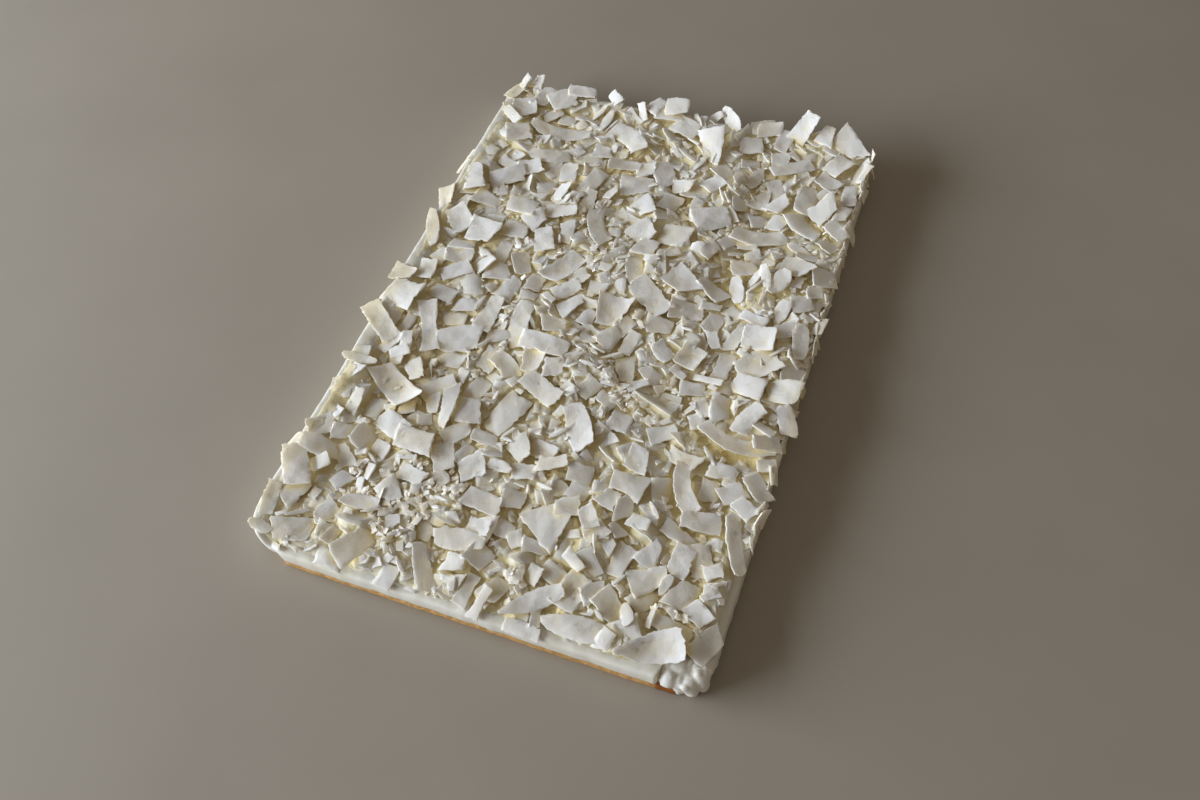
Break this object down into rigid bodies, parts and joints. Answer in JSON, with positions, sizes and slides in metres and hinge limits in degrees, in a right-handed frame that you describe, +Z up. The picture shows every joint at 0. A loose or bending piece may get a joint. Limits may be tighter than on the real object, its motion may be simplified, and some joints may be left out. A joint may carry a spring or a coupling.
{
  "type": "lemon slice",
  "caption": "Uncut rectangular tray-bake slab: thin biscuit base, white lemon icing lapping over its edge, and a dense heap of coconut flakes on top.",
  "frame": {"origin": "on the bench, under the middle of the slab's bounding box", "axes": "+X along the short side, +Y along the long side away from the broken corner's front edge, +Z up"},
  "size_m": [0.2054, 0.2974, 0.027],
  "materials": {
    "biscuit": "matte, fine baked crumb",
    "icing": "soft satin set icing",
    "coconut": "matte, slightly waxy dried coconut"
  },
  "bodies": {
    "root": {"biscuit_base": "biscuit", "lemon_icing": "icing", "coconut_flakes": "coconut"}
  },
  "joints": []
}
